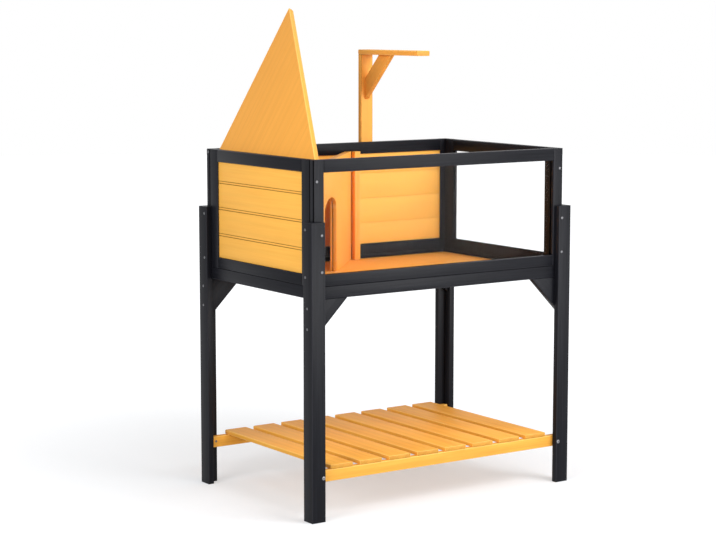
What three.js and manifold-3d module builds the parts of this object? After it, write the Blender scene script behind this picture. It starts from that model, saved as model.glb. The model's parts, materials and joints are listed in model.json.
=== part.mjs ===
// Terrarium cabinet for a land tortoise: a framed wooden box on four L-section legs, with clear panes,
// boarded walls, a slatted shelf, a corner hide under a hinged lid and a bracket for a heat lamp.
// Millimetres. X runs along the front, Y from the front to the back, Z up.
// The origin is on the floor, in the middle of the legs' footprint.

import * as THREE from "three";
import { mergeVertices } from "three/addons/utils/BufferGeometryUtils.js";
import Module from "manifold-3d";

const wasm = await Module();
wasm.setup();

// ---- Driving dimensions ----

// Overall, over the outside of the legs.
const LENGTH = 900;
const DEPTH = 600;
const RIM_HEIGHT = 984;

// Timber stock.
const BOARD = 18;
const EASED_EDGE = 1.5;

// Legs: two boards glued to an L, with the cabinet standing inside the L.
const LEG_HEIGHT = 818;
const LEG_WIDTH = 44;

// Box frames.
const TOP_RAIL = 35;
const BOTTOM_RAIL = 32;
const FRONT_STILE = 34;
const END_STILE = 42;
const WINDOW_HEIGHT = 275;

// Base boards and floor.
const APRON = 34;
const FLOOR_THICKNESS = 9;
const FLOOR_ABOVE_APRON_FOOT = 12;

// What sits in the frames' grooves.
const GROOVE_DEPTH = 6;
const GROOVE_CLEARANCE = 0.3;
const PANE_THICKNESS = 3;
const PANE_SETBACK = 10;
const PLANK_THICKNESS = 9;
const PLANK_SETBACK = 5;

// Tongue and groove boarding.
const PLANK_COVER = 75.5;
const FIRST_JOINT = 63.6;
const BEAD_WIDTH = 5;
const LINE_WIDTH = 1.4;
const LINE_DEPTH = 2.5;
const TONGUE_LENGTH = 3.5;
const TONGUE_THICKNESS = 2.2;
const TONGUE_SETBACK = 4.5;
const JOINT_GAP = 0.3;

// Corner gussets under the box.
const GUSSET_LEG = 109;

// Shelf.
const SHELF_RAIL_FOOT = 106;
const SHELF_RAIL_HEIGHT = 33;
const SLAT_COUNT = 8;
const SLAT_WIDTH = 73;
const SLAT_THICKNESS = 12;
const SHELF_END_CLEARANCE = 28;

// Corner hide: wall, battens and lid.
const HIDE_ANGLE = THREE.MathUtils.degToRad(47.2);
const HIDE_REACH = 476;
const HIDE_WALL_THICKNESS = 18;
const HIDE_WALL_BELOW_RIM = 26;
const DOOR_FROM_BACK = 395;
const DOOR_WIDTH = 210;
const DOOR_HEIGHT = 224;
const DOOR_ARCH_RISE = 41;
const JAMB_GROOVE_WIDTH = 4;
const JAMB_GROOVE_DEPTH = 4;
const JAMB_GROOVE_SETBACK = 9.5;
const BATTEN = 20;
const LID_THICKNESS = 18;
const LID_BASE = 508;
const LID_REACH = 475;
const LID_BACK_GAP = 12;
const LID_SEAT_GAP = 0.6;
const LID_OPEN = THREE.MathUtils.degToRad(59.3);

// Butt hinges of the lid.
const HINGE_LENGTH = 50;
const HINGE_LEAF = 12;
const HINGE_LEAF_THICKNESS = 1.2;
const HINGE_INSET = 95;
const KNUCKLE_COUNT = 5;
const KNUCKLE_RADIUS = 2.75;
const KNUCKLE_GAP = 0.4;
const PIN_RADIUS = 1;

// Lamp bracket behind the back wall.
const LAMP_BOARD = 15;
const LAMP_BOARD_WIDTH = 44;
const LAMP_POST_FROM_RIGHT = 261;
const LAMP_POST_LENGTH = 600;
const LAMP_ARM_LENGTH = 305;
const LAMP_TOP = 1263;
const BRACE_REACH = 135;

// Clearance between pieces that meet in a turned group or at a cut.
const FIT = 0.3;

// ---- Derived levels and faces ----

const legX = LENGTH / 2;
const legY = DEPTH / 2;
const boxX = legX - BOARD;
const boxY = legY - BOARD;
const innerX = boxX - BOARD;
const innerY = boxY - BOARD;
const windowTop = RIM_HEIGHT - TOP_RAIL;
const windowFoot = windowTop - WINDOW_HEIGHT;
const frameFoot = windowFoot - BOTTOM_RAIL;
const apronFoot = frameFoot - APRON;
const floorFoot = apronFoot + FLOOR_ABOVE_APRON_FOOT;
const floorTop = floorFoot + FLOOR_THICKNESS;
const shelfRailTop = SHELF_RAIL_FOOT + SHELF_RAIL_HEIGHT;
const hideWallTop = RIM_HEIGHT - HIDE_WALL_BELOW_RIM;
const hideBackX = HIDE_REACH - innerX;

// ---- Finishes ----

const charcoalPaint = { color: 0x3c3c41, roughness: 0.55, metalness: 0 };
const honeyStain = { color: 0xf4ad52, roughness: 0.6, metalness: 0 };
const clearAcrylic = { color: 0xeef4f4, roughness: 0.05, metalness: 0, transparent: true, opacity: 0.2 };
const zincSteel = { color: 0xb4b6ba, roughness: 0.35, metalness: 1 };

// ---- Geometry helpers ----

// Turns an extrusion, which runs along Z, so that it runs along X or Y. The section's first and
// second coordinates then lie along the next two axes in the order X, Y, Z, X.
const RUN = {
  z: new THREE.Matrix4(),
  x: new THREE.Matrix4().makeBasis(
    new THREE.Vector3(0, 1, 0), new THREE.Vector3(0, 0, 1), new THREE.Vector3(1, 0, 0)),
  y: new THREE.Matrix4().makeBasis(
    new THREE.Vector3(0, 0, 1), new THREE.Vector3(1, 0, 0), new THREE.Vector3(0, 1, 0)),
};

function extrude(shape, length, run = "z", curveSegments = 12) {
  const geometry = new THREE.ExtrudeGeometry(shape, { depth: length, bevelEnabled: false, curveSegments });
  geometry.translate(0, 0, -length / 2);
  return geometry.applyMatrix4(RUN[run]);
}

// Rectangle about the origin with its corners planed off.
function easedRectangle(width, height, ease = EASED_EDGE) {
  const w = width / 2;
  const h = height / 2;
  const shape = new THREE.Shape();
  shape.moveTo(-w + ease, -h);
  shape.lineTo(w - ease, -h);
  shape.lineTo(w, -h + ease);
  shape.lineTo(w, h - ease);
  shape.lineTo(w - ease, h);
  shape.lineTo(-w + ease, h);
  shape.lineTo(-w, h - ease);
  shape.lineTo(-w, -h + ease);
  shape.closePath();
  return shape;
}

function polygon(points) {
  return new THREE.Shape(points.map(([u, v]) => new THREE.Vector2(u, v)));
}

function toSolid(geometry) {
  const bare = geometry.clone();
  bare.deleteAttribute("normal");
  bare.deleteAttribute("uv");
  const merged = mergeVertices(bare, 1e-4);
  return new wasm.Manifold(new wasm.Mesh({
    numProp: 3,
    vertProperties: new Float32Array(merged.attributes.position.array),
    triVerts: new Uint32Array(merged.index.array),
  }));
}

function toGeometry(solid) {
  const mesh = solid.getMesh();
  const geometry = new THREE.BufferGeometry();
  geometry.setAttribute("position", new THREE.BufferAttribute(new Float32Array(mesh.vertProperties), 3));
  geometry.setIndex(new THREE.BufferAttribute(new Uint32Array(mesh.triVerts), 1));
  geometry.computeVertexNormals();
  return geometry;
}

const cabinet = new THREE.Group();

function addPiece(name, geometry, finish, [x, y, z] = [0, 0, 0], parent = cabinet) {
  const mesh = new THREE.Mesh(geometry, new THREE.MeshStandardMaterial(finish));
  mesh.name = name;
  mesh.position.set(x, y, z);
  parent.add(mesh);
  return mesh;
}

// A straight board between two corners of its box, with its long edges eased.
function addBoard(name, run, low, high, finish) {
  const size = high.map((value, i) => value - low[i]);
  const centre = high.map((value, i) => (value + low[i]) / 2);
  const axis = "xyz".indexOf(run);
  const section = easedRectangle(size[(axis + 1) % 3], size[(axis + 2) % 3]);
  return addPiece(name, extrude(section, size[axis], run), finish, centre);
}

// ---- Legs ----

// L in plan with its outer corner at the origin and its boards along +X and +Y.
function legSection() {
  const e = EASED_EDGE;
  return polygon([
    [e, 0], [LEG_WIDTH - e, 0], [LEG_WIDTH, e], [LEG_WIDTH, BOARD],
    [BOARD, BOARD], [BOARD, LEG_WIDTH], [e, LEG_WIDTH], [0, LEG_WIDTH - e], [0, e],
  ]);
}

const CORNERS = [
  { name: "front_left", x: -1, y: -1, turn: 0 },
  { name: "front_right", x: 1, y: -1, turn: 1 },
  { name: "back_right", x: 1, y: 1, turn: 2 },
  { name: "back_left", x: -1, y: 1, turn: 3 },
];

for (const corner of CORNERS) {
  const geometry = extrude(legSection(), LEG_HEIGHT).rotateZ(corner.turn * Math.PI / 2);
  const place = [corner.x * legX, corner.y * legY, LEG_HEIGHT / 2];
  addPiece(`leg_${corner.name}`, geometry, charcoalPaint, place);
}

// ---- Corner gussets under the front and back base boards ----

for (const corner of CORNERS) {
  const triangle = polygon([[0, 0], [0, -GUSSET_LEG], [GUSSET_LEG, 0]]);
  const geometry = extrude(triangle, BOARD).rotateX(Math.PI / 2);
  if (corner.x > 0) {
    geometry.rotateZ(Math.PI);
  }
  const y = corner.y * (innerY + BOARD / 2);
  addPiece(`gusset_${corner.name}`, geometry, charcoalPaint, [corner.x * boxX, y, apronFoot]);
}

// ---- Shelf ----

for (const [name, side] of [["front", -1], ["back", 1]]) {
  const y = side * (innerY + BOARD / 2);
  addBoard(`shelf_rail_${name}`, "x", [-boxX, y - BOARD / 2, SHELF_RAIL_FOOT],
    [boxX, y + BOARD / 2, shelfRailTop], honeyStain);
}

const shelfHalf = legX - LEG_WIDTH - SHELF_END_CLEARANCE;
const slatPitch = (2 * shelfHalf - SLAT_WIDTH) / (SLAT_COUNT - 1);
for (let i = 0; i < SLAT_COUNT; i += 1) {
  const x = -shelfHalf + i * slatPitch;
  addBoard(`shelf_slat_${i + 1}`, "y", [x, -boxY, shelfRailTop],
    [x + SLAT_WIDTH, boxY, shelfRailTop + SLAT_THICKNESS], honeyStain);
}

// ---- Box frames ----

// Section of a frame member: `width` across the wall's face by BOARD through the wall, with the
// outer face at v = 0 and a groove for the panel in the edge at u = width.
function grooveSection(width, panelSetback, panelThickness) {
  const e = EASED_EDGE;
  const near = panelSetback - GROOVE_CLEARANCE;
  const far = panelSetback + panelThickness + GROOVE_CLEARANCE;
  return polygon([
    [e, 0], [width - e, 0], [width, e], [width, near], [width - GROOVE_DEPTH, near],
    [width - GROOVE_DEPTH, far], [width, far], [width, BOARD], [e, BOARD], [0, BOARD - e], [0, e],
  ]);
}

// A wall in its own frame: u along the wall from its middle, v up, w from the outer face inwards.
// It is drawn with the outer face looking along -Y, then turned about Z to its side of the box.
function addWall(name, halfLength, stileWidth, panelSetback, panelThickness, turn, distance) {
  const wall = new THREE.Group();
  wall.rotation.z = turn;
  const offset = new THREE.Vector3(0, -distance, 0).applyAxisAngle(new THREE.Vector3(0, 0, 1), turn);
  wall.position.copy(offset);
  cabinet.add(wall);

  const height = RIM_HEIGHT - frameFoot;
  const stile = extrude(grooveSection(stileWidth, panelSetback, panelThickness), height);
  addPiece(`${name}_stile_left`, stile, charcoalPaint, [-halfLength, 0, frameFoot + height / 2], wall);
  const mirrored = toGeometry(toSolid(stile).mirror([1, 0, 0]));
  addPiece(`${name}_stile_right`, mirrored, charcoalPaint, [halfLength, 0, frameFoot + height / 2], wall);

  const railLength = 2 * (halfLength - stileWidth);
  const railUp = (width) => extrude(grooveSection(width, panelSetback, panelThickness), railLength)
    .rotateY(-Math.PI / 2);
  const railDown = (width) => toGeometry(toSolid(railUp(width)).mirror([0, 0, 1]));
  addPiece(`${name}_rail_bottom`, railUp(BOTTOM_RAIL), charcoalPaint, [0, 0, frameFoot], wall);
  addPiece(`${name}_rail_top`, railDown(TOP_RAIL), charcoalPaint, [0, 0, RIM_HEIGHT], wall);
  return wall;
}

const panelBite = GROOVE_DEPTH - GROOVE_CLEARANCE;

function addPane(name, halfLength, stileWidth, wall) {
  const width = 2 * (halfLength - stileWidth + panelBite);
  const height = WINDOW_HEIGHT + 2 * panelBite;
  const pane = extrude(easedRectangle(width, height, PANE_THICKNESS / 4), PANE_THICKNESS)
    .rotateX(Math.PI / 2);
  addPiece(name, pane, clearAcrylic,
    [0, PANE_SETBACK + PANE_THICKNESS / 2, windowFoot + WINDOW_HEIGHT / 2], wall);
}

// Section of one board between two joints: first coordinate from the face inwards, second up.
// A tongue stands on its upper edge and a groove lies in its lower one. The joint shows as a fine
// line, cut from the upper front arris, and a second line above it leaves a narrow bead between.
function plankSection(foot, top, hasGroove, hasTongue) {
  const half = JOINT_GAP / 2;
  const points = [];
  if (hasGroove) {
    const near = TONGUE_SETBACK - JOINT_GAP;
    const far = TONGUE_SETBACK + TONGUE_THICKNESS + JOINT_GAP;
    const roof = foot + half + TONGUE_LENGTH + JOINT_GAP;
    points.push([0, foot + half], [near, foot + half], [near, roof], [far, roof]);
    points.push([far, foot + half], [PLANK_THICKNESS, foot + half]);
  } else {
    points.push([0, foot], [PLANK_THICKNESS, foot]);
  }
  if (hasTongue) {
    const root = top - half;
    const near = TONGUE_SETBACK;
    const far = TONGUE_SETBACK + TONGUE_THICKNESS;
    points.push([PLANK_THICKNESS, root], [far, root], [far, root + TONGUE_LENGTH]);
    points.push([near, root + TONGUE_LENGTH], [near, root], [LINE_DEPTH, root]);
    points.push([LINE_DEPTH, root - LINE_WIDTH], [0, root - LINE_WIDTH]);
  } else {
    points.push([PLANK_THICKNESS, top], [0, top]);
  }
  if (hasGroove) {
    const bead = foot + half + BEAD_WIDTH;
    points.push([0, bead + LINE_WIDTH], [LINE_DEPTH, bead + LINE_WIDTH]);
    points.push([LINE_DEPTH, bead], [0, bead]);
  }
  return polygon(points);
}

function addPlanks(name, halfLength, stileWidth, wall) {
  const foot = windowFoot - panelBite;
  const top = windowTop + panelBite;
  const joints = [foot];
  for (let z = windowFoot + FIRST_JOINT; z < top - PLANK_COVER / 3; z += PLANK_COVER) {
    joints.push(z);
  }
  joints.push(top);
  const length = 2 * (halfLength - stileWidth + panelBite);
  const last = joints.length - 2;
  for (let i = 0; i <= last; i += 1) {
    const section = plankSection(joints[i], joints[i + 1], i > 0, i < last);
    const plank = extrude(section, length, "x");
    addPiece(`${name}_plank_${i + 1}`, plank, honeyStain, [0, PLANK_SETBACK, 0], wall);
  }
}

const quarter = Math.PI / 2;
const frontWall = addWall("front", boxX, FRONT_STILE, PANE_SETBACK, PANE_THICKNESS, 0, boxY);
addPane("front_pane", boxX, FRONT_STILE, frontWall);
const rightWall = addWall("right", innerY, END_STILE, PANE_SETBACK, PANE_THICKNESS, quarter, boxX);
addPane("right_pane", innerY, END_STILE, rightWall);
const backWall = addWall("back", boxX, FRONT_STILE, PLANK_SETBACK, PLANK_THICKNESS, 2 * quarter, boxY);
addPlanks("back", boxX, FRONT_STILE, backWall);
const leftWall = addWall("left", innerY, END_STILE, PLANK_SETBACK, PLANK_THICKNESS, -quarter, boxX);
addPlanks("left", innerY, END_STILE, leftWall);

// ---- Base boards, with the floor panel in their grooves ----

// Same section as a frame member, lying on its side: the groove is in the inner face.
function apronSection() {
  const e = EASED_EDGE;
  const near = FLOOR_ABOVE_APRON_FOOT - GROOVE_CLEARANCE;
  const far = FLOOR_ABOVE_APRON_FOOT + FLOOR_THICKNESS + GROOVE_CLEARANCE;
  return polygon([
    [e, 0], [BOARD - e, 0], [BOARD, e], [BOARD, near], [BOARD - GROOVE_DEPTH, near],
    [BOARD - GROOVE_DEPTH, far], [BOARD, far], [BOARD, APRON], [0, APRON], [0, e],
  ]);
}

function addApron(name, halfLength, turn, distance) {
  const geometry = extrude(apronSection(), 2 * halfLength, "x").rotateZ(turn);
  const place = new THREE.Vector3(0, -distance, 0).applyAxisAngle(new THREE.Vector3(0, 0, 1), turn);
  addPiece(name, geometry, charcoalPaint, [place.x, place.y, apronFoot]);
}

addApron("apron_front", boxX, 0, boxY);
addApron("apron_right", innerY, quarter, boxX);
addApron("apron_back", boxX, 2 * quarter, boxY);
addApron("apron_left", innerY, -quarter, boxX);

const floorX = innerX + panelBite;
const floorY = innerY + panelBite;
const floorPanel = new THREE.BoxGeometry(2 * floorX, 2 * floorY, FLOOR_THICKNESS);
addPiece("floor_panel", floorPanel, honeyStain, [0, 0, floorFoot + FLOOR_THICKNESS / 2]);

// ---- Corner hide: wall with an arched doorway, set across the back left corner ----

// The wall's outer face meets the back frame at (hideBackX, innerY) and runs forward and left.
const hideRun = HIDE_REACH / Math.cos(HIDE_ANGLE);

function hideWallOutline() {
  const length = hideRun + 2 * HIDE_WALL_THICKNESS;
  const height = hideWallTop - floorTop - FIT;
  const centre = hideRun - DOOR_FROM_BACK;
  const half = DOOR_WIDTH / 2;
  const spring = DOOR_HEIGHT - DOOR_ARCH_RISE;
  const shape = new THREE.Shape();
  shape.moveTo(-2 * HIDE_WALL_THICKNESS, 0);
  shape.lineTo(centre - half, 0);
  shape.lineTo(centre - half, spring);
  shape.absellipse(centre, spring, half, DOOR_ARCH_RISE, Math.PI, 0, true, 0);
  shape.lineTo(centre + half, 0);
  shape.lineTo(length, 0);
  shape.lineTo(length, height);
  shape.lineTo(-2 * HIDE_WALL_THICKNESS, height);
  shape.closePath();
  return shape;
}

// Swings what is built behind the line y = 0, with the wall's back end at x = 0, to its place.
function placeInHide(geometry) {
  return geometry.rotateZ(HIDE_ANGLE).translate(hideBackX - FIT, innerY, floorTop + FIT);
}

// The wall stands upright and is trimmed to the room inside the frames. Its boards' edge groove
// shows in both jambs of the doorway.
const hideWallBoard = toSolid(placeInHide(extrude(hideWallOutline(), HIDE_WALL_THICKNESS, "z", 32)
  .translate(-hideRun, 0, HIDE_WALL_THICKNESS / 2)
  .rotateX(quarter)
  .translate(0, HIDE_WALL_THICKNESS, 0)));
const jambGrooveHeight = DOOR_HEIGHT - 2 * JAMB_GROOVE_WIDTH;
const jambGroove = toSolid(placeInHide(
  new THREE.BoxGeometry(DOOR_WIDTH + 2 * JAMB_GROOVE_DEPTH, JAMB_GROOVE_WIDTH, 2 * jambGrooveHeight)
    .translate(-DOOR_FROM_BACK, JAMB_GROOVE_SETBACK + JAMB_GROOVE_WIDTH / 2, 0)));
const room = toSolid(new THREE.BoxGeometry(2 * (innerX - FIT), 2 * (innerY - FIT), 2 * RIM_HEIGHT));
addPiece("hide_wall", toGeometry(hideWallBoard.subtract(jambGroove).intersect(room)), honeyStain);

// Square battens in the corners between the wall and the frames: outside the wall at its back end,
// inside the hide at its left end.
const hideFrontY = innerY - hideRun * Math.sin(HIDE_ANGLE);
const hideInsideY = hideFrontY + HIDE_WALL_THICKNESS / Math.cos(HIDE_ANGLE);
const leftBattenY = hideInsideY + BATTEN * Math.tan(HIDE_ANGLE) + 3 * FIT;
const battens = [
  ["hide_batten_back", hideBackX + BATTEN / 2, innerY - BATTEN / 2],
  ["hide_batten_left", -innerX + BATTEN / 2, leftBattenY + BATTEN / 2],
];
for (const [name, x, y] of battens) {
  addBoard(name, "z", [x - BATTEN / 2, y - BATTEN / 2, floorTop],
    [x + BATTEN / 2, y + BATTEN / 2, hideWallTop], honeyStain);
}

// ---- Lid on two butt hinges, shown open ----

const hingeGap = KNUCKLE_RADIUS + 0.25;
const hingeX = -innerX + hingeGap;
const hingeZ = hideWallTop + LID_SEAT_GAP + LID_THICKNESS;
const lidBackY = innerY - LID_BACK_GAP;
const lidFrontY = lidBackY - LID_BASE;

const lidGroup = new THREE.Group();
lidGroup.position.set(hingeX, 0, hingeZ);
lidGroup.rotation.y = -LID_OPEN;
cabinet.add(lidGroup);

// Right triangle: the base lies along the hinges and the long side over the hide's wall.
function lidOutline() {
  const base = KNUCKLE_RADIUS + FIT;
  return polygon([[base, lidFrontY], [base + LID_REACH, lidBackY], [base, lidBackY]]);
}

const lid = new THREE.ExtrudeGeometry(lidOutline(), {
  depth: LID_THICKNESS - 2 * EASED_EDGE,
  bevelThickness: EASED_EDGE,
  bevelSize: EASED_EDGE,
  bevelOffset: -EASED_EDGE,
  bevelSegments: 1,
}).translate(0, 0, EASED_EDGE - LID_THICKNESS);
addPiece("lid", lid, honeyStain, [0, 0, 0], lidGroup);

// One half of a butt hinge about an axis along Y: a leaf that hangs below the axis, and knuckles
// at every other place along it. `side` is -1 for the half on the rail and 1 for the lid's half.
function hingeHalf(side) {
  const pitch = HINGE_LENGTH / KNUCKLE_COUNT;
  const knuckleLength = pitch - KNUCKLE_GAP;
  const outer = side < 0 ? hingeGap : KNUCKLE_RADIUS;
  const leafX = side * (outer - HINGE_LEAF_THICKNESS / 2);
  const leafTop = -KNUCKLE_RADIUS - KNUCKLE_GAP;
  let half = toSolid(new THREE.BoxGeometry(HINGE_LEAF_THICKNESS, HINGE_LENGTH, HINGE_LEAF)
    .translate(leafX, 0, leafTop - HINGE_LEAF / 2));
  const first = side < 0 ? 0 : 1;
  for (let i = first; i < KNUCKLE_COUNT; i += 2) {
    const y = (i + 0.5) * pitch - HINGE_LENGTH / 2;
    const knuckle = new THREE.CylinderGeometry(KNUCKLE_RADIUS, KNUCKLE_RADIUS, knuckleLength, 20);
    const web = new THREE.BoxGeometry(HINGE_LEAF_THICKNESS, knuckleLength, KNUCKLE_RADIUS * 2);
    half = half.add(toSolid(knuckle.translate(0, y, 0)));
    half = half.add(toSolid(web.translate(leafX, y, -KNUCKLE_RADIUS)));
  }
  const pinRadius = side < 0 ? PIN_RADIUS : PIN_RADIUS + FIT;
  const pinLength = side < 0 ? HINGE_LENGTH : HINGE_LENGTH + 2;
  const pin = toSolid(new THREE.CylinderGeometry(pinRadius, pinRadius, pinLength, 16));
  return toGeometry(side < 0 ? half.add(pin) : half.subtract(pin));
}

const hinges = [
  ["front", lidFrontY + HINGE_INSET],
  ["back", lidBackY - HINGE_INSET],
];
for (const [name, y] of hinges) {
  addPiece(`hinge_${name}_rail_leaf`, hingeHalf(-1), zincSteel, [hingeX, y, hingeZ]);
  addPiece(`hinge_${name}_lid_leaf`, hingeHalf(1), zincSteel, [0, y, 0], lidGroup);
}

// ---- Lamp bracket: post behind the back wall, arm over the enclosure, brace between them ----

const armFoot = LAMP_TOP - LAMP_BOARD;
const postBack = boxY + LAMP_BOARD;
const postRight = innerX - LAMP_POST_FROM_RIGHT;
const postLeft = postRight - LAMP_BOARD_WIDTH;
addBoard("lamp_post", "z", [postLeft, boxY, armFoot - LAMP_POST_LENGTH],
  [postRight, postBack, armFoot], honeyStain);
addBoard("lamp_arm", "y", [postLeft, postBack - LAMP_ARM_LENGTH, armFoot],
  [postRight, postBack, LAMP_TOP], honeyStain);

const braceCut = LAMP_BOARD_WIDTH * Math.SQRT2;
const braceOutline = polygon([
  [0, -BRACE_REACH], [0, -BRACE_REACH + braceCut], [-BRACE_REACH + braceCut, 0], [-BRACE_REACH, 0],
]);
addPiece("lamp_brace", extrude(braceOutline, LAMP_BOARD, "x"), honeyStain,
  [(postLeft + postRight) / 2, boxY, armFoot]);

export default cabinet;
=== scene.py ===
# %% [markdown]
# # Terrarium cabinet: from plain solids to a finished look
# The real object is a wooden table enclosure: charcoal legs and frames, honey-coloured boards, two
# clear walls and a hinged three-cornered lid. A model of it could be drawn from nothing. Here it
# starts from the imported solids, because they already have the right sizes and turn on the right
# hinges. The steps below add what a solid lacks: rounded edges, grain, paint, screws and light.
# Lengths are in metres. X runs along the front, Y from front to back and Z up.

# %% Load the solids
import json
import math
import zlib

import bmesh
import bpy
from mathutils import Matrix, Vector
from mathutils.bvhtree import BVHTree

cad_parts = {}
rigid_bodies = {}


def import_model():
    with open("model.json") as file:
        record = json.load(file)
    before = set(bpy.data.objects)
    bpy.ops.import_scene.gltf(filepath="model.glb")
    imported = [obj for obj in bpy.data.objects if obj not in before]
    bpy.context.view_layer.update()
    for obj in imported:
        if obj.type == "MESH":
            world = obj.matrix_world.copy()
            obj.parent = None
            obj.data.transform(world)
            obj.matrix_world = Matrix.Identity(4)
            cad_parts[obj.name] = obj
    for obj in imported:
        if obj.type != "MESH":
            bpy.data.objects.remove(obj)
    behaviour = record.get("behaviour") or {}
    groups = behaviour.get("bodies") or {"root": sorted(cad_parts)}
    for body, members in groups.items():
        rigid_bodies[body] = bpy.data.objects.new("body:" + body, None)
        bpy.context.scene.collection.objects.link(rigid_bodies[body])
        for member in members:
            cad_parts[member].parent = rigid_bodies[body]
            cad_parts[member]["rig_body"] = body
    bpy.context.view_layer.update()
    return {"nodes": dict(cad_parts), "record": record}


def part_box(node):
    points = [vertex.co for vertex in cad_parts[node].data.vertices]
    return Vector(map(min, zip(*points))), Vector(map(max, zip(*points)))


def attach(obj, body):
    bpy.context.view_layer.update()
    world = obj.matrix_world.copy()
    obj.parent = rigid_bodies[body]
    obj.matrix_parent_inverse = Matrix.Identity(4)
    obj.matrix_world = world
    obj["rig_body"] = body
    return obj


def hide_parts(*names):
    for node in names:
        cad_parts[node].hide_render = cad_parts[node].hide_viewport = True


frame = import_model()
NODES = frame["nodes"]
SLOT_OF = {part["node"]: part["material_slot"] for part in frame["record"]["subparts"]}

# %% [markdown]
# ## Camera
# The cabinet is seen from left of its front, from a little above the rim. A camera can be placed
# by eye, or fitted: its place, turn and lens change until the solids' edges fall on the edges in
# the picture. It was fitted here, because a wrong lens bends every proportion. The fit gives the
# focal length in pixels, and the width of the sensor turns that into millimetres.

# %% Camera
PICTURE_WIDTH = 716
SENSOR_WIDTH = 36.0
FOCAL_PIXELS = 1973.8
CAMERA_PLACE = (-3.2929, -4.6627, 1.3636)
YAW, PITCH = math.radians(-34.444), math.radians(7.334)


def put_in_scene(name, data):
    thing = bpy.data.objects.new(name, data)
    bpy.context.scene.collection.objects.link(thing)
    return thing


lens = bpy.data.cameras.new("camera")
lens.sensor_width = SENSOR_WIDTH
lens.lens = FOCAL_PIXELS / PICTURE_WIDTH * SENSOR_WIDTH
camera = put_in_scene("camera", lens)
camera.location = CAMERA_PLACE
camera.rotation_euler = (math.pi / 2 - PITCH, 0.0, YAW)
bpy.context.scene.camera = camera
print("lens:", round(lens.lens, 2), "mm, at", round(camera.location.length, 2), "m")

# %% [markdown]
# ## Helpers for materials
# A material is a graph: each node makes a number, a colour or a shader, and links carry it on. The
# graph can be drawn by hand in the editor, or written down. It is written here, because a finish
# then reads like a recipe and can be made again with other settings. `add` makes one node, sets
# its plain inputs and links the others.

# %% Helpers for nodes
def add(owner, kind, inputs=None, **settings):
    node = owner.node_tree.nodes.new("ShaderNode" + kind)
    for name, value in settings.items():
        setattr(node, name, value)
    for name, value in (inputs or {}).items():
        if isinstance(value, bpy.types.NodeSocket):
            owner.node_tree.links.new(value, node.inputs[name])
        else:
            node.inputs[name].default_value = value
    return node


def new_material(name):
    material = bpy.data.materials.new(name)
    material.use_nodes = True
    material.node_tree.nodes.clear()
    return material


def finish_material(material, shader):
    output = add(material, "OutputMaterial")
    material.node_tree.links.new(shader.outputs[0], output.inputs["Surface"])
    print("finish:", material.name, "with", len(material.node_tree.nodes), "nodes")
    return material


print("helpers: add, new_material, finish_material; materials so far:", len(bpy.data.materials))

# %% [markdown]
# ## Helpers for colours
# Paint and stain are never one flat colour. A colour can be painted on by hand, or worked out from
# a pattern. It is worked out here, so that it fits boards of any length. `ramp` turns a number
# into a colour between two stops. `mix` lays one colour over another or multiplies the two.
# `between` stretches a number from 0 to 1 over another range. `shaded` multiplies a colour by one
# amount where a mark is absent and by another where it is full.

# %% Helpers for colours
def ramp(material, factor, stops):
    node = add(material, "ValToRGB", {"Fac": factor})
    for element, (place, color) in zip(node.color_ramp.elements, stops):
        element.position = place
        element.color = (*color, 1.0)
    return node.outputs["Color"]


def mix(material, factor, under, over, blend="MIX"):
    node = add(material, "Mix", data_type="RGBA", blend_type=blend)
    sockets = (node.inputs[0], node.inputs[6], node.inputs[7])
    for socket, value in zip(sockets, (factor, under, over)):
        if isinstance(value, bpy.types.NodeSocket):
            material.node_tree.links.new(value, socket)
        else:
            socket.default_value = value if socket.type == "VALUE" else (*value, 1.0)
    return node.outputs[2]


def between(material, signal, low, high):
    return add(material, "MapRange", {"Value": signal, "To Min": low, "To Max": high}).outputs[0]


def shaded(material, color, signal, where_absent, where_full):
    amount = between(material, signal, where_absent, where_full)
    return mix(material, 1.0, color, amount, "MULTIPLY")


WHITE = (1.0, 1.0, 1.0)
print("helpers: ramp, mix, between, shaded; white is", WHITE)

# %% [markdown]
# ## Grain
# All the timber is planed softwood: fine fibres run along each board, and broader bands show where
# the saw crossed the growth rings. A picture of wood could be laid on, but it repeats, and it
# blurs near by. Three worked-out patterns are used, because they stay sharp at any size. They read
# a UV map named `grain` that is laid in metres with U along the board, so a pattern with many more
# steps in V than in U turns into fibres.

# %% Grain patterns
FIBRES_PER_METRE = (5.0, 230.0, 1.0)
FLAMES_PER_METRE = (1.3, 21.0, 1.0)
CLOUDS_PER_METRE = (4.0, 14.0, 1.0)


def stretched_noise(material, grain, steps, detail, roughness=0.5):
    place = add(material, "Mapping", {"Vector": grain, "Scale": steps}).outputs[0]
    noise = add(material, "TexNoise", {"Vector": place, "Scale": 1.0, "Detail": detail,
                                       "Roughness": roughness})
    return noise.outputs["Fac"]


def grain_patterns(material):
    grain = add(material, "UVMap", uv_map="grain").outputs[0]
    fibres = stretched_noise(material, grain, FIBRES_PER_METRE, 5.0, 0.62)
    clouds = stretched_noise(material, grain, CLOUDS_PER_METRE, 3.0)
    place = add(material, "Mapping", {"Vector": grain, "Scale": FLAMES_PER_METRE}).outputs[0]
    flame = add(material, "TexWave", {"Vector": place, "Scale": 0.55, "Distortion": 5.5,
                                      "Detail": 2.0, "Detail Scale": 1.2}, bands_direction="Y")
    return fibres, flame.outputs["Fac"], clouds


print("one fibre step is", round(1000.0 / FIBRES_PER_METRE[1], 1), "mm wide")
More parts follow.
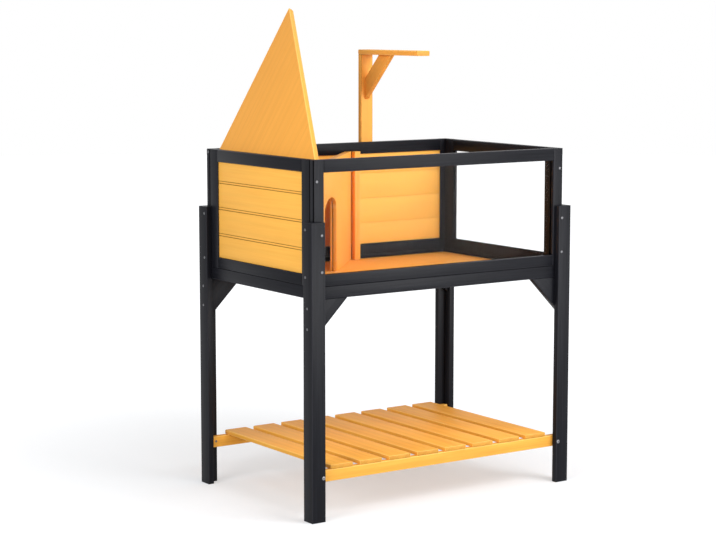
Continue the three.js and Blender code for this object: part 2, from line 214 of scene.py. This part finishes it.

# %% [markdown]
# ## One recipe for paint and stain
# Paint hides the wood and stain lets it show, yet both are thin on worn edges and darker on sawn
# ends. Two marks also paint light and shade into the colour: free edges turn lighter, partly wear
# and partly a painted highlight, and joints turn darkest as painted shade. Each finish could have
# a graph of its own. One recipe with settings is used, because all boards then wear in the same
# way. It reads four marks that every board carries: `edge` on free rounded edges, `end` on sawn
# ends, one for how shut in a face is, in joints and grooves, and `tone`, one number for the whole
# board. In the joints the surface also turns matt. The gloss is the same all over, so it is a
# plain number on the shader and not a link.

# %% Recipe for timber
FAINT_PATCHES = (0.975, 0.965, 0.955)
FIBRE_STOPS = (0.32, 0.68)
BAND_STOPS = (0.0, 0.6)
PATCH_STOPS = (0.35, 0.62)
TONE_RANGE = (0.96, 1.03)
SEAM_ROUGHNESS = 0.9
FIBRE_HEIGHT = 0.0006


def mark(material, name):
    return add(material, "Attribute", attribute_name=name).outputs["Fac"]


def timber(name, dark, light, wear_and_highlight, end_shade, painted_joint_shade, flame_strength, rough, gloss, relief,
           patches=FAINT_PATCHES):
    material = new_material(name)
    fibres, flame, clouds = grain_patterns(material)
    seam = mark(material, "seam")
    color = ramp(material, fibres, zip(FIBRE_STOPS, (dark, light)))
    bands = ramp(material, flame, zip(BAND_STOPS, ((1.0 - flame_strength,) * 3, WHITE)))
    color = mix(material, 1.0, color, bands, "MULTIPLY")
    blotches = ramp(material, clouds, zip(PATCH_STOPS, (patches, WHITE)))
    color = mix(material, 1.0, color, blotches, "MULTIPLY")
    color = shaded(material, color, mark(material, "tone"), *TONE_RANGE)
    color = shaded(material, color, mark(material, "end"), 1.0, end_shade)
    # Free edges take the lighter edge colour: partly wear, partly a painted highlight where the
    # rounded edge catches the light.
    color = mix(material, mark(material, "edge"), color, wear_and_highlight)
    # Painted shade: faces shut in by other boards, in joints and grooves, are darkened.
    color = shaded(material, color, seam, 1.0, painted_joint_shade)
    polish = between(material, fibres, *rough)
    bumps = add(material, "Bump", {"Height": fibres, "Strength": relief, "Distance": FIBRE_HEIGHT})
    shader = add(material, "BsdfPrincipled", {
        "Base Color": color, "Roughness": between(material, seam, polish, SEAM_ROUGHNESS),
        "Specular IOR Level": gloss, "Normal": bumps.outputs[0]})
    return finish_material(material, shader)


print("relief of the fibres:", FIBRE_HEIGHT * 1000.0, "mm")

# %% [markdown]
# ## Charcoal paint
# Legs, gussets, frames and base boards have a thin blue-black paint with a silky shine, and the
# fibres still show through it. A plain black would look like plastic. Here the fibres run between
# two near-blacks and stand out as a relief, because on so dark a colour only the shine shows the
# grain. Joints are painted almost black as shade, and free edges a little grey, partly wear and
# partly a painted highlight.

# %% Charcoal paint
# The edge colour here is partly wear and partly a painted highlight; the joint factor is painted
# shade.
CHARCOAL = timber("charcoal_paint", dark=(0.0070, 0.0074, 0.0099),
                  light=(0.0130, 0.0134, 0.0174), wear_and_highlight=(0.031, 0.031, 0.037),
                  end_shade=0.9, painted_joint_shade=0.06, flame_strength=0.10,
                  rough=(0.28, 0.42), gloss=0.075, relief=0.55)

# %% [markdown]
# ## Honey stains
# The other timber has a warm honey stain that is nearly even. It could be one material for all,
# but the shelf, of coarser wood, is mottled, and the boarding gets a lighter copy of the stain as
# painted light, for the stronger light on its boards than on the lid. Three settings of the same
# recipe are used, because the pieces then look like one set. Their colours are bright on purpose:
# the stain is close to the brightest orange that a surface can have.

# %% Honey stains
# In all three, the edge colour is partly wear and partly a painted highlight, and the joint factor
# is painted shade.
HONEY_STAIN = dict(end_shade=0.8, painted_joint_shade=0.42, flame_strength=0.03, rough=(0.45, 0.56),
                   gloss=0.12, relief=0.2)
HONEY = timber("honey_stain", dark=(0.915, 0.404, 0.068), light=(0.97, 0.448, 0.082),
               wear_and_highlight=(1.0, 0.60, 0.175), **HONEY_STAIN)
# The boarding's copy is lighter than the honey stain as painted light, for the stronger light on
# the boards.
PAINTED_LIGHT_BOARDING = timber("honey_boarding", dark=(0.965, 0.474, 0.084), light=(1.0, 0.525, 0.100),
                  wear_and_highlight=(1.0, 0.64, 0.19), **HONEY_STAIN)
SHELF_HONEY = timber("mottled_honey_stain", dark=(0.885, 0.400, 0.055),
                     light=(0.945, 0.480, 0.079), wear_and_highlight=(1.0, 0.61, 0.17),
                     end_shade=0.75, painted_joint_shade=0.3, flame_strength=0.06,
                     rough=(0.45, 0.56), gloss=0.12, relief=0.3, patches=(0.94, 0.88, 0.80))

# %% [markdown]
# ## Clear sheet
# The front and right walls are clear acrylic, a few millimetres thick. Real refraction could be
# used, but in a thin flat sheet it hardly bends anything and costs many rays. So the light passes
# straight through, and a thin reflection is added that grows towards a glancing view, as on any
# clear sheet. Two faint things keep it from looking like air: a slight tint and slow waves.

# %% Clear sheet
LEAST_REFLECTION, MOST_REFLECTION = 0.002, 0.8


def clear_sheet():
    material = new_material("clear_acrylic")
    place = add(material, "TexCoord").outputs["Object"]
    ripple = add(material, "TexNoise", {"Vector": place, "Scale": 3.0, "Detail": 1.0})
    ripple = ripple.outputs["Fac"]
    waves = add(material, "Bump", {"Height": ripple, "Strength": 0.05, "Distance": 0.002})
    tint = ramp(material, ripple, [(0.0, (0.994, 0.997, 0.997)), (1.0, (0.998, 1.0, 1.0))])
    through = add(material, "BsdfTransparent", {"Color": tint})
    gloss = add(material, "BsdfGlossy", {"Color": (*WHITE, 1.0), "Roughness": 0.03,
                                         "Normal": waves.outputs[0]})
    glance = add(material, "LayerWeight", {"Blend": 0.5}).outputs["Facing"]
    steep = add(material, "Math", {0: glance, 1: 5.0}, operation="POWER").outputs[0]
    share = between(material, steep, LEAST_REFLECTION, MOST_REFLECTION)
    blended = add(material, "MixShader", {0: share, 1: through.outputs[0], 2: gloss.outputs[0]})
    return finish_material(material, blended)


ACRYLIC = clear_sheet()

# %% [markdown]
# ## Zinc-plated steel
# Hinges and screws are zinc-plated steel, the screws duller than the rolled hinge leaves. Steel
# could be a plain grey mirror. Fine marks that change both its colour and its roughness are added,
# because plated parts look brushed. The pattern sits on Object coordinates, in metres, so it
# stays in place when the lid turns.

# %% Zinc-plated steel
MARKS_PER_METRE = (900.0, 60.0, 900.0)
DARKEST_MARK = 0.82


def zinc(name, tint, rough):
    material = new_material(name)
    place = add(material, "TexCoord").outputs["Object"]
    marks = stretched_noise(material, place, MARKS_PER_METRE, 3.0)
    color = ramp(material, marks, [(0.3, [DARKEST_MARK * part for part in tint]), (0.7, tint)])
    shader = add(material, "BsdfPrincipled", {"Base Color": color, "Metallic": 1.0,
                                              "Roughness": between(material, marks, *rough)})
    return finish_material(material, shader)


ZINC = zinc("zinc_plate", (0.62, 0.63, 0.65), (0.28, 0.45))
DULL_ZINC = zinc("dull_zinc", (0.19, 0.19, 0.20), (0.40, 0.55))

# %% [markdown]
# ## Which way the grain runs
# A joiner lays the grain along the longest side of a piece. Unwrapping lays a UV map by itself,
# but it doesn't know that rule, so the direction is worked out for each board. Four kinds of piece
# differ: the lid's grain climbs with its slope, brace and gussets are cut slantwise, and the hide's
# wall has upright grain. `chance` gives each board its own start in the pattern from its name, so
# no two boards look alike and every run gives the same picture.

# %% Direction of the grain
LID_OPEN = math.radians(59.3)


def grain_direction(name):
    if name == "lid":
        return Vector((math.cos(LID_OPEN), 0.0, math.sin(LID_OPEN)))
    if name == "lamp_brace":
        return Vector((0.0, -1.0, 1.0)).normalized()
    if name.startswith("gusset"):
        return Vector((1.0 if name.endswith("left") else -1.0, 0.0, 1.0)).normalized()
    if name == "hide_wall":
        return Vector((0.0, 0.0, 1.0))
    low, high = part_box(name)
    longest = max(range(3), key=lambda axis: (high - low)[axis])
    return Vector([float(axis == longest) for axis in range(3)])


def chance(name, salt):
    return (zlib.crc32(f"{name}{salt}".encode()) % 10007) / 10007.0


print("grain of the lid:", [round(part, 3) for part in grain_direction("lid")])

# %% [markdown]
# ## Laying the grain
# On a real board the fibres run on over every side, and its sawn ends show short dots. Each face
# gets its UV from two directions: along the board and across it, both in metres. Unwrapping could
# do this too, but it scales and turns each board differently. A face that looks along the grain,
# less than 30 degrees off, is a sawn end: there the cross product is shorter than 0.5, the sine of
# 30 degrees, and the pattern is packed closer.

# %% Grain map
START_RANGE = (7.0, 5.0)
SAWN_END = 0.5
END_GRAIN_PACKING = 8.0


def lay_grain(mesh, name):
    along = grain_direction(name)
    layer = mesh.loops.layers.uv.new("grain")
    start = [chance(name, salt) * reach for salt, reach in zip((1, 2), START_RANGE)]
    for face in mesh.faces:
        u_way, packing = along, 1.0
        v_way = face.normal.cross(along)
        if v_way.length > SAWN_END:
            v_way.normalize()
        else:
            u_way, packing = along.orthogonal().normalized(), END_GRAIN_PACKING
            v_way = face.normal.cross(u_way)
        for loop in face.loops:
            place = loop.vert.co
            loop[layer].uv = (place.dot(u_way) * packing + start[0], place.dot(v_way) + start[1])


print("first board starts at", round(chance("leg_front_left", 1) * START_RANGE[0], 3), "m")

# %% [markdown]
# ## Finding the joints
# Where two boards meet, or in a groove, light hardly gets in, and that shade is painted into the
# colour. The dark line could be modelled as a deep gap, but real joints are tight. So each narrow
# face, which is an edge or a groove's side, looks out with a fan of five short rays over all
# solids. The more of them hit something, the more the face counts as a seam and the darker its
# painted shade. Hits on the board's own edge, which the rounding has just cut away, are passed
# over.

# %% Seams
SEAM_REACH = 0.006
RAY_FAN = (-70, -35, 0, 35, 70)
HITS_OF_FULL_SEAM = 2.5
CUT_AWAY = 0.7
STEP_ON = 1e-5


def tree_of_solids():
    points, faces, owners = [], [], []
    for name, solid in NODES.items():
        first = len(points)
        points.extend(solid.matrix_world @ vertex.co for vertex in solid.data.vertices)
        faces.extend([first + i for i in side.vertices] for side in solid.data.polygons)
        owners.extend([name] * len(solid.data.polygons))
    return BVHTree.FromPolygons(points, faces), owners


SOLIDS, OWNERS = tree_of_solids()


# Share of short rays that meet another solid: how much painted shade a narrow face gets.
def shut_in(face, own, rounding):
    longest = max(face.edges, key=lambda edge: edge.calc_length())
    along = (longest.verts[0].co - longest.verts[1].co).normalized()
    start, hits = face.calc_center_median(), 0
    for degrees in RAY_FAN:
        way = Matrix.Rotation(math.radians(degrees), 3, along) @ face.normal
        spot, _, index, distance = SOLIDS.ray_cast(start, way, SEAM_REACH)
        while spot is not None and OWNERS[index] == own and distance < CUT_AWAY * rounding:
            spot, _, index, distance = SOLIDS.ray_cast(spot + way * STEP_ON, way, SEAM_REACH)
        hits += spot is not None
    return min(1.0, hits / HITS_OF_FULL_SEAM)


print("faces that the rays can hit:", len(OWNERS))

# %% [markdown]
# ## Rounding the edges
# A planed board never has a knife edge: its arrises are sanded round by about a millimetre, and
# that thin line catches the light. A bevel node could fake it in the shader, but the mesh itself
# would stay sharp. So a copy of each solid is made, its doubled points and split flats are
# merged, and every sharp edge gets a bevel of two segments.

# %% Rounded copies
ARRIS = 0.0009
SHARP = math.radians(20)
SAME_POINT = 1e-6
SAME_PLANE = math.radians(0.5)


def rounded_copy(name, rounding, sharp):
    mesh = bmesh.new()
    mesh.from_mesh(NODES[name].data)
    bmesh.ops.remove_doubles(mesh, verts=mesh.verts, dist=SAME_POINT)
    bmesh.ops.dissolve_limit(mesh, angle_limit=SAME_PLANE, verts=mesh.verts, edges=mesh.edges)
    edges = [edge for edge in mesh.edges
             if len(edge.link_faces) == 2 and edge.calc_face_angle(0.0) > sharp]
    bmesh.ops.bevel(mesh, geom=edges, offset=rounding, offset_type="OFFSET", segments=2,
                    profile=0.5, affect="EDGES", clamp_overlap=True, material=-1)
    mesh.normal_update()
    return mesh


print("arrises:", ARRIS * 1000.0, "mm on edges sharper than", round(math.degrees(SHARP)), "degrees")

# %% [markdown]
# ## Marking the faces
# The recipe for timber has to know where an edge, a sawn end or a joint is. Such marks can be
# painted by hand as vertex colours. Here they are measured, because sixty pieces would take long
# and every change would undo the work. Narrow faces are tested for how shut in they are, which
# sets their painted shade; very narrow free ones are worn edges that also carry a painted
# highlight, and faces across the grain are sawn ends.

# %% Marks on the faces
NARROW = 0.006
VERY_NARROW = 0.0025
FREE_EDGE_LIMIT = 0.3
# Share of the lighter edge colour: partly wear, partly painted highlight.
WEAR_AND_HIGHLIGHT = 0.6
ACROSS_GRAIN = 0.87


def width_of(face):
    return face.calc_area() / max(edge.calc_length() for edge in face.edges)


def mark_faces(mesh, name, rounding):
    along = grain_direction(name)
    layers = [mesh.loops.layers.float.new(kind) for kind in ("edge", "end", "tone", "seam")]
    tone = chance(name, 3)
    for face in mesh.faces:
        width = width_of(face)
        # Shut-in faces get painted shade; very narrow free faces get the lighter edge colour,
        # partly wear and partly painted highlight.
        seam = shut_in(face, name, rounding) if width < NARROW else 0.0
        edge = WEAR_AND_HIGHLIGHT if width < VERY_NARROW and seam < FREE_EDGE_LIMIT else 0.0
        end = float(abs(face.normal.dot(along)) > ACROSS_GRAIN)
        for loop in face.loops:
            for layer, value in zip(layers, (edge, end, tone, seam)):
                loop[layer] = value
        face.smooth = True


print("faces narrower than", NARROW * 1000.0, "mm are tested for seams")

# %% [markdown]
# ## From solid to finished piece
# Each finished piece stands for one solid: it rides on the same body, gets the finish chosen for
# that solid's material slot and sits in the same place. The solid's own mesh could be changed
# instead, but the frame has to stay as it was packed. The solid's own mesh could be changed
# instead, but the solids keep their shape as imported, so the copy replaces it and the solid is
# hidden. Edges over 50 degrees stay crisp in the shading, and the rounded ones between them shade
# smoothly.

# %% Finished pieces
CRISP = math.radians(50)


def finished_piece(name, material, rounding, sharp):
    mesh = rounded_copy(name, rounding, sharp)
    lay_grain(mesh, name)
    mark_faces(mesh, name, rounding)
    data = bpy.data.meshes.new(name + "_finished")
    mesh.to_mesh(data)
    mesh.free()
    data.materials.append(material)
    piece = put_in_scene(name + "_finished", data)
    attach(piece, NODES[name]["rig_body"])
    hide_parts(name)
    data.set_sharp_from_angle(angle=CRISP)
    return piece


def solids_of(slot, *starts):
    return [name for name, of in SLOT_OF.items() if of == slot and name.startswith(starts or "")]


def finish_all(group, names, material, rounding=ARRIS, sharp=SHARP):
    pieces = [finished_piece(name, material, rounding, sharp) for name in names]
    faces = sum(len(piece.data.polygons) for piece in pieces)
    print(group + ":", len(pieces), "pieces with", faces, "faces")


print("slots in the record:", sorted(set(SLOT_OF.values())))

# %% [markdown]
# ## Legs and gussets
# Each leg is two boards glued to an L that stands round a corner of the box. The gussets are
# boards with a slanted cut that stiffen the corners under the front and the back. Leg and gusset
# could get different paints, but on the real object they come from the same pot, so they share the
# charcoal and differ only in the way their grain runs.

# %% Legs and gussets
finish_all("legs", solids_of("painted_leg_timber"), CHARCOAL)
finish_all("gussets", solids_of("painted_frame_timber", "gusset"), CHARCOAL)

# %% [markdown]
# ## Wall frames and base boards
# Two stiles and two rails make the frame of each wall, and a base board runs under each frame. One
# extruded ring per wall would be quicker, but the joints between stile and rail show, and the
# grain turns there by 90 degrees. Sixteen separate boards keep both.

# %% Wall frames and base boards
WALL_SIDES = ("front", "right", "back", "left")
finish_all("stiles and rails", solids_of("painted_frame_timber", *WALL_SIDES), CHARCOAL)
finish_all("base boards", solids_of("painted_frame_timber", "apron"), CHARCOAL)

# %% [markdown]
# ## Boarding
# The left and back walls are four tongued and grooved boards each, with a narrow bead between two
# fine lines along every joint. The lines could be a dark pattern on a flat wall. They are real
# grooves in the solids, so they only need small arrises, which leave the lines sharp, and the
# painted shade of the shut-in mark, which makes them dark. Their stain is the lighter copy,
# painted light for the stronger light on these boards.

# %% Boarding
FINE_ARRIS = 0.0004
finish_all("boarding", solids_of("stained_boarding"), PAINTED_LIGHT_BOARDING, FINE_ARRIS)

# %% [markdown]
# ## Floor, hide and lid
# Inside, a floor panel lies in the base boards' grooves. A wall with an arched doorway cuts off
# the back left corner, held by two battens, and the three-cornered lid covers that corner. The lid
# could get a finer stain of its own, but it is planed board like the wall below it and shares its
# stain. The arch needs no work of its own either, because the bevel rounds its rim like any other
# edge.

# %% Floor, hide and lid
finish_all("floor, hide and lid", solids_of("stained_timber", "floor", "hide", "lid"), HONEY)

# %% [markdown]
# ## Lamp post
# A post on the back wall carries an arm over the box, with a slanted brace between the two. They
# could be one bent bar, but three boards show the butt joints and the brace's slanted grain.

# %% Lamp post
finish_all("lamp post, arm and brace", solids_of("stained_timber", "lamp"), HONEY)

# %% [markdown]
# ## Shelf
# Eight slats lie across two rails low between the legs. They are sawn from coarser wood, so the
# stain is mottled there. Eight copies of one slat would repeat the same grain. Each slat is its
# own solid with its own start in the pattern, and so none of them match.

# %% Shelf
finish_all("shelf", solids_of("stained_timber", "shelf"), SHELF_HONEY)

# %% [markdown]
# ## Panes
# The panes are flat sheets in the frames' grooves, with their edges hidden. They could be copied
# and rounded as the boards are, but nothing of their edges shows. So the solids stay and only
# take the clear finish.

# %% Panes
PANES = solids_of("clear_acrylic")
for name in PANES:
    NODES[name].data.materials.clear()
    NODES[name].data.materials.append(ACRYLIC)
print("clear panes:", PANES)

# %% [markdown]
# ## Hinges
# Two small butt hinges carry the lid, and each half has a leaf and its share of the knuckle. The
# leaves are thin sheet, so the arrises are smaller than on wood. Only edges over 40 degrees are
# rounded, because the knuckle is round already and its facets have to stay.

# %% Hinges
HINGE_ARRIS = 0.0003
HINGE_SHARP = math.radians(40)
HINGE_HALVES = solids_of("hinge_steel")
finish_all("hinge halves", HINGE_HALVES, ZINC, HINGE_ARRIS, HINGE_SHARP)

# %% [markdown]
# ## A screw head
# Screws with domed heads hold the legs, the frames and the shelf. A head could be a squashed ball,
# or a grey dot painted on the wood. It is turned here as on a lathe, because the rim and the
# recess in its middle catch the light: a chain of points gives half of the section, and `spin`
# carries it round the screw's axis. The skirt goes a little way into the wood, so no gap shows.

# %% One screw head
HEAD_RADIUS = 0.0038
HEAD_RISE = 0.0011
HEAD_SKIRT = 0.0012
HEAD_STEPS = 20
HEAD_SECTION = ((1.0, 0.25), (0.93, 0.55), (0.75, 0.82), (0.5, 0.97), (0.34, 1.0), (0.20, -0.2),
                (0.0, -0.5))


def add_screw(mesh, point, outwards, size=1.0):
    axis = Vector(outwards).normalized()
    turn = axis.to_track_quat("Z", "Y").to_matrix().to_4x4()
    place = Matrix.Translation(Vector(point)) @ turn
    radius = HEAD_RADIUS * size
    section = [(radius, -HEAD_SKIRT)]
    section += [(share * radius, height * HEAD_RISE) for share, height in HEAD_SECTION]
    chain = [mesh.verts.new(place @ Vector((out, 0.0, height))) for out, height in section]
    edges = [mesh.edges.new(pair) for pair in zip(chain, chain[1:])]
    bmesh.ops.spin(mesh, geom=chain + edges, cent=Vector(point), axis=axis, angle=2.0 * math.pi,
                   steps=HEAD_STEPS, use_merge=True)


print("screw head:", 2000.0 * HEAD_RADIUS, "mm wide,", 1000.0 * HEAD_RISE, "mm proud")

# %% [markdown]
# ## Sets of screws
# All the heads on one body can be a single piece, as they never part. A piece for each screw would
# make a long list and show nothing more. The spin leaves doubled points at its seam and may turn a
# shape inside out, so the points are merged first and the normals worked out again after that.

# %% Sets of screws
CRISP_STEEL = math.radians(40)


def screw_set(name, places, body):
    mesh = bmesh.new()
    for place in places:
        add_screw(mesh, *place)
    bmesh.ops.remove_doubles(mesh, verts=mesh.verts, dist=SAME_POINT)
    bmesh.ops.recalc_face_normals(mesh, faces=mesh.faces)
    data = bpy.data.meshes.new(name)
    mesh.to_mesh(data)
    mesh.free()
    data.polygons.foreach_set("use_smooth", [True] * len(data.polygons))
    data.set_sharp_from_angle(angle=CRISP_STEEL)
    data.materials.append(DULL_ZINC)
    piece = put_in_scene(name, data)
    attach(piece, body)
    print(name + ":", len(places), "heads with", len(data.polygons), "faces")


# %% [markdown]
# ## Screws in legs and frames
# The legs are screwed to the box and to the gussets: four screws on each leg's side, two on its
# front. One more sits above them on each stile, and one just under the rim at the back of the left
# side. Their places could be typed one by one. The cabinet is built alike all round, so a few
# places are read from its front and left, and a loop over the four corners sets them all.

# %% Screws in legs and frames
LEG_X, LEG_Y = 0.450, 0.300
BOX_X, BOX_Y = 0.432, 0.282
LEG_SIDE_SCREWS = ((0.268, 0.798), (0.268, 0.670), (0.277, 0.586), (0.277, 0.530))
LEG_FRONT_SCREWS = ((0.417, 0.783), (0.417, 0.684))
STILE_SCREW = (0.421, 0.926)
RIM_SCREW = (0.272, 0.975)
CORNERS = [(sx, sy) for sx in (-1, 1) for sy in (-1, 1)]

wood_screws = []
for sx, sy in CORNERS:
    wood_screws += [((sx * LEG_X, sy * y, z), (sx, 0, 0)) for y, z in LEG_SIDE_SCREWS]
    wood_screws += [((sx * x, sy * LEG_Y, z), (0, sy, 0)) for x, z in LEG_FRONT_SCREWS]
    wood_screws.append(((sx * STILE_SCREW[0], sy * BOX_Y, STILE_SCREW[1]), (0, sy, 0)))
wood_screws.append(((-BOX_X, *RIM_SCREW), (-1, 0, 0)))
screw_set("wood_screws", wood_screws, "cabinet")

# %% [markdown]
# ## Screws of the shelf
# A larger screw goes through each leg's front into the shelf rail, and a smaller one shows on the
# inner side of each rail end. Typed places would be simpler, but the inner ones could then end up
# beside the wood. The rail's box says where its ends and its inner face are, so they start there.

# %% Screws of the shelf
SHELF_SCREW = (0.413, 0.122)
SHELF_SCREW_SIZE = 1.45
RAIL_SCREW_FROM_END, RAIL_SCREW_HEIGHT, RAIL_SCREW_SIZE = 0.013, 0.124, 0.9

rail_low, rail_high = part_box("shelf_rail_back")
rail_x = rail_high.x - RAIL_SCREW_FROM_END
shelf_screws = [((sx * SHELF_SCREW[0], sy * LEG_Y, SHELF_SCREW[1]), (0, sy, 0), SHELF_SCREW_SIZE)
                for sx, sy in CORNERS]
shelf_screws += [((sx * rail_x, sy * rail_low.y, RAIL_SCREW_HEIGHT), (0, -sy, 0), RAIL_SCREW_SIZE)
                 for sx, sy in CORNERS]
screw_set("shelf_screws", shelf_screws, "cabinet")

# %% [markdown]
# ## Screws of the hinges
# Each hinge leaf has two small screws. The lid stands open, so its leaves are tilted, and writing
# down where the screws are would mean working out the slope by hand. The leaf tells it instead:
# its broad flat that has free air before it is the outer one, and the screws sit on its middle
# line. Those on the lid's leaves ride on the lid, so they turn with it.

# %% Screws of the hinges
LEAF_SCREW_SIZE = 0.75
LEAF_SCREW_COUNT = 2
BROAD = 0.4
FREE_AIR = 0.004
ON_PLANE = 1e-4


def outer_flat(solid):
    sides = solid.data.polygons
    broad = [side for side in sides if side.area > BROAD * max(other.area for other in sides)]
    for side in sorted(broad, key=lambda side: -side.area):
        outwards = (solid.matrix_world.to_3x3() @ side.normal).normalized()
        centre = solid.matrix_world @ side.center
        if SOLIDS.ray_cast(centre + outwards * ON_PLANE, outwards, FREE_AIR)[0] is None:
            break
    return centre, outwards


def leaf_screws(name):
    solid = NODES[name]
    centre, outwards = outer_flat(solid)
    corners = [solid.matrix_world @ vertex.co for vertex in solid.data.vertices]
    flat = [corner for corner in corners if abs((corner - centre).dot(outwards)) < ON_PLANE]
    across = outwards.cross(Vector((0.0, 1.0, 0.0))).normalized()
    reach = [corner.dot(across) for corner in flat]
    middle = centre + across * ((min(reach) + max(reach)) / 2.0 - centre.dot(across))
    low, high = min(corner.y for corner in flat), max(corner.y for corner in flat)
    spots = [low + (high - low) * (i + 0.5) / LEAF_SCREW_COUNT for i in range(LEAF_SCREW_COUNT)]
    return [((middle.x, y, middle.z), tuple(outwards), LEAF_SCREW_SIZE) for y in spots]


for body, half in (("cabinet", "rail_leaf"), ("lid", "lid_leaf")):
    heads = [head for name in HINGE_HALVES if half in name for head in leaf_screws(name)]
    screw_set("hinge_screws_" + body, heads, body)

# %% [markdown]
# ## A surround that looks white
# The cabinet stands in a white studio. White could come from very strong lamps, but these would
# wash out the paint. Instead the floor and the world ask each ray what it is: a ray from the
# camera, or one that was mirrored or passed a clear sheet, sees plain white, and all others see
# the softer light that falls on the cabinet.

# %% Rays that see white
def rays_that_see_white(owner):
    path = add(owner, "LightPath").outputs
    seen = path["Is Camera Ray"]
    for kind in ("Is Glossy Ray", "Is Transmission Ray"):
        seen = add(owner, "Math", {0: seen, 1: path[kind]}, operation="MAXIMUM").outputs[0]
    return seen


print("helper: rays_that_see_white")

# %% [markdown]
# ## Floor
# The floor is a pale disc that runs into the white background and still takes the soft shadow
# under the legs. A shadow catcher would do that in one picture only. Here the floor's own white is
# added to a grey matt surface and grows outwards, because near the cabinet the lamps do most of
# the work, and far out nothing may show where the disc meets the background.

# %% Floor
FLOOR_RADIUS = 14.0
FLOOR_SIDES = 96
WHITE_NEAR, WHITE_FAR = 0.42, 0.8
NEAR, FAR = 0.5, 2.6


def pale_floor():
    material = new_material("pale_floor")
    place = add(material, "TexCoord").outputs["Object"]
    speck = add(material, "TexNoise", {"Vector": place, "Scale": 2.0, "Detail": 2.0})
    color = ramp(material, speck.outputs["Fac"],
                 [(0.0, (0.53, 0.545, 0.565)), (1.0, (0.55, 0.565, 0.585))])
    matt = add(material, "BsdfDiffuse", {"Color": color})
    out = add(material, "VectorMath", {0: place}, operation="LENGTH").outputs["Value"]
    strength = add(material, "MapRange", {"Value": out, "From Min": NEAR, "From Max": FAR,
                                          "To Min": WHITE_NEAR, "To Max": WHITE_FAR}).outputs[0]
    white = add(material, "Emission", {"Color": (*WHITE, 1.0), "Strength": strength})
    nothing = add(material, "Emission", {"Strength": 0.0})
    glow = add(material, "MixShader", {0: rays_that_see_white(material), 1: nothing.outputs[0],
                                       2: white.outputs[0]})
    both = add(material, "AddShader", {0: matt.outputs[0], 1: glow.outputs[0]})
    return finish_material(material, both)


disc = bmesh.new()
bmesh.ops.create_circle(disc, cap_ends=True, segments=FLOOR_SIDES, radius=FLOOR_RADIUS)
floor_data = bpy.data.meshes.new("floor")
disc.to_mesh(floor_data)
disc.free()
floor_data.materials.append(pale_floor())
floor = put_in_scene("floor", floor_data)
print("floor:", 2.0 * FLOOR_RADIUS, "m wide")

# %% [markdown]
# ## Light from all round
# In a white studio some light comes from every side, more from the front and above than from
# behind. One even grey would flatten the cabinet. So the world's strength depends on the
# direction: it grows towards the front, the right and the top.

# %% World
BRIGHT_WAY = (0.42, -0.76, 0.5)
AWAY, TOWARDS = -0.6, 0.9
DIM, BRIGHT = 0.12, 0.95

studio = bpy.data.worlds.new("studio")
studio.use_nodes = True
way = add(studio, "TexCoord").outputs["Generated"]
facing = add(studio, "VectorMath", {0: way, 1: BRIGHT_WAY}, operation="DOT_PRODUCT")
strength = add(studio, "MapRange", {"Value": facing.outputs["Value"], "From Min": AWAY,
                                    "From Max": TOWARDS, "To Min": DIM, "To Max": BRIGHT})
strength = strength.outputs[0]
sky = add(studio, "Background", {"Color": (*WHITE, 1.0), "Strength": strength})
white = add(studio, "Background", {"Color": (*WHITE, 1.0), "Strength": 1.0})
around = add(studio, "MixShader", {0: rays_that_see_white(studio), 1: sky.outputs[0],
                                   2: white.outputs[0]})
output = studio.node_tree.nodes["World Output"]
studio.node_tree.links.new(around.outputs[0], output.inputs["Surface"])
bpy.context.scene.world = studio
print("world: from", DIM, "to", BRIGHT)

# %% [markdown]
# ## Lamps
# Large soft panels stand where a studio has them: one in front, one high in front and one on the
# left. Small lamps would give hard shadows. A fourth, in the same place as the front one, lights
# only the gloss, because the dark paint shines on its front side while the bright stain has no
# room for more light. The high and the left panel leave the gloss alone, so that they show in no
# pane.

# %% Lamps
def add_panel(name, place, target, size, power, matt=True, gloss=True):
    light = bpy.data.lights.new(name, "AREA")
    light.shape = "RECTANGLE"
    light.size, light.size_y = size
    light.energy = power
    panel = put_in_scene(name, light)
    panel.location = place
    panel.rotation_euler = (Vector(target) - Vector(place)).to_track_quat("-Z", "Y").to_euler()
    panel.visible_diffuse = matt
    panel.visible_glossy = gloss
    print(name + ":", power, "W over", round(size[0] * size[1], 2), "square metres")


FRONT = dict(place=(1.9, -4.2, 1.1), target=(0.0, 0.0, 0.5), size=(2.6, 2.1))
add_panel("front_panel", power=46.0, **FRONT)
add_panel("front_gleam", power=225.0, matt=False, **FRONT)
add_panel("high_panel", (1.2, -3.2, 3.2), (0.0, 0.0, 0.3), (2.4, 2.0), 106.0, gloss=False)
add_panel("left_panel", (-4.2, -1.4, 2.0), (0.0, 0.0, 0.7), (2.2, 2.2), 104.0, gloss=False)
bpy.context.scene.view_settings.view_transform = "Standard"
